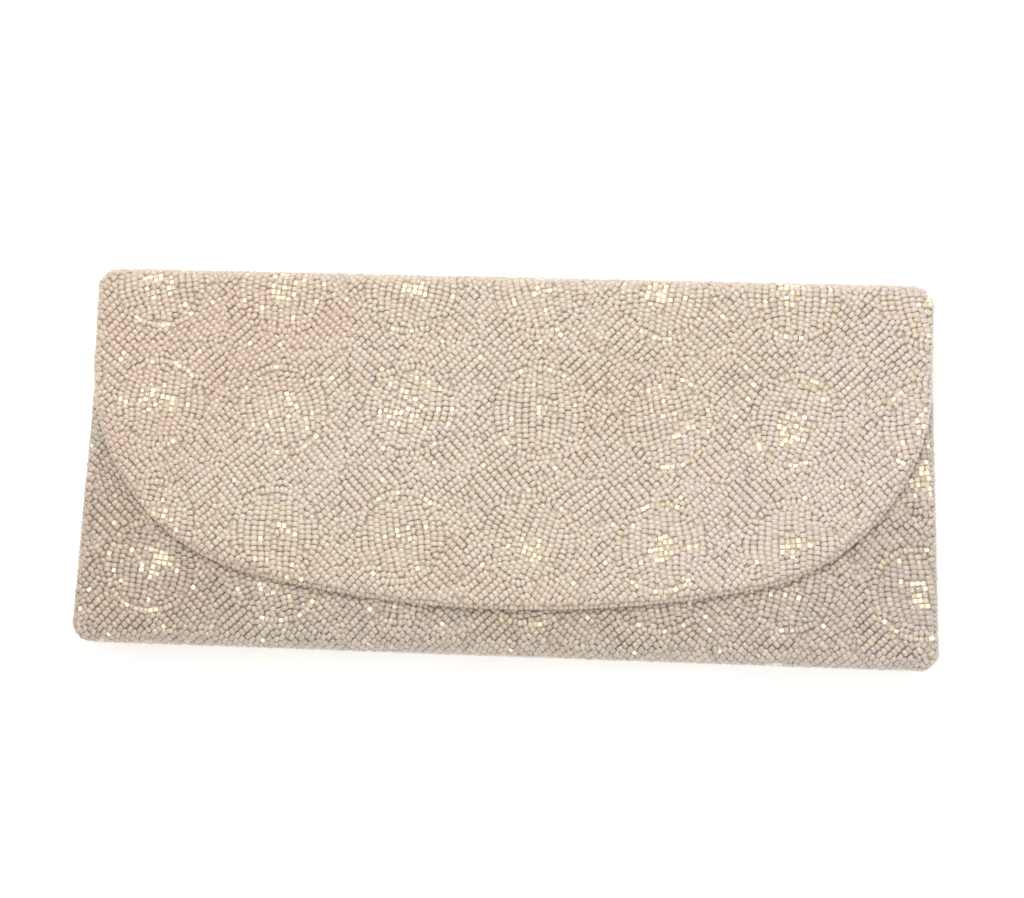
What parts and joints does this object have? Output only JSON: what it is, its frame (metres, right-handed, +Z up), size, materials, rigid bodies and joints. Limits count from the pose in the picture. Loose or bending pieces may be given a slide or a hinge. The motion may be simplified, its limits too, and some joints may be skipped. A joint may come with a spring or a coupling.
{
  "type": "beaded clutch purse",
  "caption": "Slim envelope evening clutch, beaded all over, with a deep round-cornered flap that folds over from the top, a lined pouch with side gussets and a press snap under the flap.",
  "frame": {"origin": "on the table under the middle of the purse, which lies on its back", "axes": "+X across the width, +Y towards the top fold, +Z up out of the front, through the flap"},
  "size_m": [0.2524, 0.111, 0.0201],
  "materials": {
    "pearl_beads": "pearl lustre seed beads sewn on cloth",
    "interlining": "soft felted wadding",
    "board": "grey-brown stiffening board",
    "satin_lining": "satin weave",
    "gusset_satin": "satin weave",
    "satin_binding": "satin, folded",
    "snap_metal": "nickel plated",
    "sewing_thread": "cotton thread"
  },
  "bodies": {
    "back": {"back_beadwork": "pearl_beads", "back_interlining": "interlining", "back_board": "board", "back_lining": "satin_lining", "slip_pocket": "satin_lining", "slip_pocket_binding": "satin_binding", "bottom_beadwork": "pearl_beads", "bottom_lining": "satin_lining", "left_gusset": "gusset_satin", "right_gusset": "gusset_satin"},
    "front": {"front_beadwork": "pearl_beads", "front_interlining": "interlining", "front_board": "board", "front_lining": "satin_lining", "front_mouth_binding": "satin_binding", "snap_socket": "snap_metal", "snap_socket_spring": "snap_metal", "snap_socket_thread": "sewing_thread"},
    "spine": {"spine_beadwork": "pearl_beads", "spine_interlining": "interlining", "spine_lining": "satin_lining"},
    "flap": {"flap_beadwork": "pearl_beads", "flap_edge_beads": "pearl_beads", "flap_interlining": "interlining", "flap_board": "board", "flap_lining": "satin_lining", "snap_stud": "snap_metal", "snap_stud_thread": "sewing_thread"}
  },
  "joints": [
    {"name": "flap_open", "type": "hinge", "parent": "spine", "child": "flap", "pos_m": [0, 0.0533, 0.0179], "axis": [-1, 0, 0], "range_deg": [0, 90]},
    {"name": "spine_fold", "type": "hinge", "parent": "back", "child": "spine", "pos_m": [0, 0.0533, 0.0022], "axis": [-1, 0, 0], "range_deg": [0, 90]},
    {"name": "front_open", "type": "hinge", "parent": "back", "child": "front", "pos_m": [0, -0.0533, 0.0134], "axis": [1, 0, 0], "range_deg": [0, 13.5], "deforming": ["left_gusset", "right_gusset"]}
  ],
  "couplings": [
    {"joint": "spine_fold", "follows": "flap_open", "ratio": 1},
    {"joint": "front_open", "follows": "flap_open", "ratio": 0.15}
  ]
}
